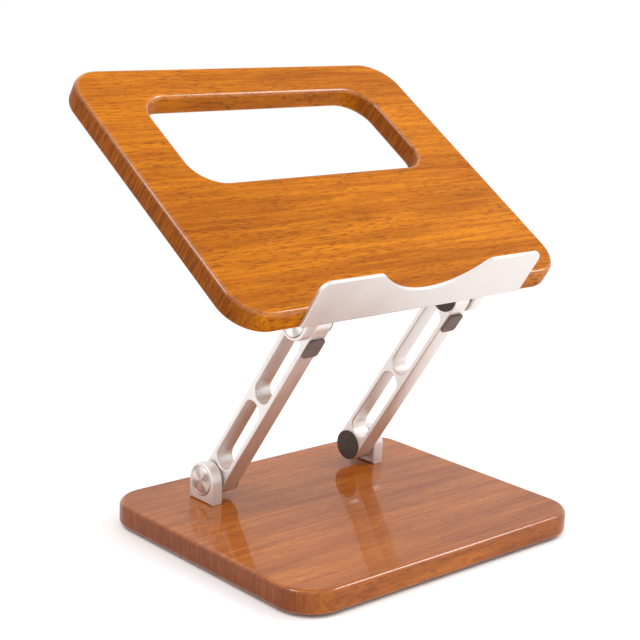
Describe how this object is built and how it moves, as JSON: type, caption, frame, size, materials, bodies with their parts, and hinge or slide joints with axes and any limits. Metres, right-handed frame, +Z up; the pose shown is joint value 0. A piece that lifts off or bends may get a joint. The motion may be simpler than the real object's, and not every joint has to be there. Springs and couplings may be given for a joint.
{
  "type": "laptop stand",
  "caption": "Folding laptop stand with a wooden base and tray joined by two slotted aluminium arms on friction hinges, with a metal lip along the tray's front edge.",
  "frame": {"origin": "on the floor under the middle of the stand's box, in the pose shown", "axes": "+Z up, -Y towards the user, +X to the user's right, along the hinge axes"},
  "size_m": [0.2706, 0.2332, 0.2849],
  "materials": {
    "tray_wood": "amber oak-like grain under satin lacquer",
    "base_wood": "amber grain under gloss lacquer",
    "satin_aluminium": "bead-blasted, satin, chamfered edges",
    "lip_aluminium": "bead-blasted, matt",
    "spun_aluminium": "spun, fine concentric lines",
    "steel": "plain zinc-plated steel",
    "cap_rubber": "matt dark brown",
    "pad_rubber": "matt brown",
    "foot_rubber": "matt black-brown",
    "washer_nylon": "plain nylon"
  },
  "bodies": {
    "base": {"base_board": "base_wood", "foot_front_left": "foot_rubber", "foot_rear_left": "foot_rubber", "foot_front_right": "foot_rubber", "foot_rear_right": "foot_rubber", "base_ear_left": "satin_aluminium", "base_ear_right": "satin_aluminium", "base_ear_screw_front_left": "steel", "base_ear_screw_rear_left": "steel", "base_ear_screw_front_right": "steel", "base_ear_screw_rear_right": "steel", "lower_bolt_left": "steel", "lower_friction_washer_left": "washer_nylon", "lower_spring_washer_left": "steel", "lower_lock_nut_left": "steel", "lower_disc_left": "spun_aluminium", "lower_bolt_right": "steel", "lower_friction_washer_right": "washer_nylon", "lower_spring_washer_right": "steel", "lower_lock_nut_right": "steel", "lower_disc_right": "spun_aluminium"},
    "arms": {"arm_left": "satin_aluminium", "arm_right": "satin_aluminium", "lower_cap_left": "cap_rubber", "lower_cap_right": "cap_rubber", "upper_cap_left": "cap_rubber", "upper_cap_right": "cap_rubber", "arm_pad_left": "pad_rubber", "arm_pad_right": "pad_rubber"},
    "tray": {"tray_board": "tray_wood", "lip_plate": "lip_aluminium", "lip_screw_left": "steel", "lip_screw_middle": "steel", "lip_screw_right": "steel", "tray_ear_left": "satin_aluminium", "tray_ear_right": "satin_aluminium", "tray_ear_stud_front_left": "steel", "tray_ear_stud_rear_left": "steel", "tray_ear_stud_front_right": "steel", "tray_ear_stud_rear_right": "steel", "upper_disc_left": "spun_aluminium", "upper_disc_right": "spun_aluminium", "upper_bolt_left": "steel", "upper_friction_washer_left": "washer_nylon", "upper_spring_washer_left": "steel", "upper_lock_nut_left": "steel", "upper_bolt_right": "steel", "upper_friction_washer_right": "washer_nylon", "upper_spring_washer_right": "steel", "upper_lock_nut_right": "steel"}
  },
  "joints": [
    {"name": "arm_pivot", "type": "hinge", "parent": "base", "child": "arms", "pos_m": [0, 0.03709, 0.03075], "axis": [1, 0, 0], "range_deg": [-33.9, 56.1]},
    {"name": "tray_tilt", "type": "hinge", "parent": "arms", "child": "tray", "pos_m": [0, -0.04529, 0.15334], "axis": [1, 0, 0], "range_deg": [-77, 20]}
  ]
}
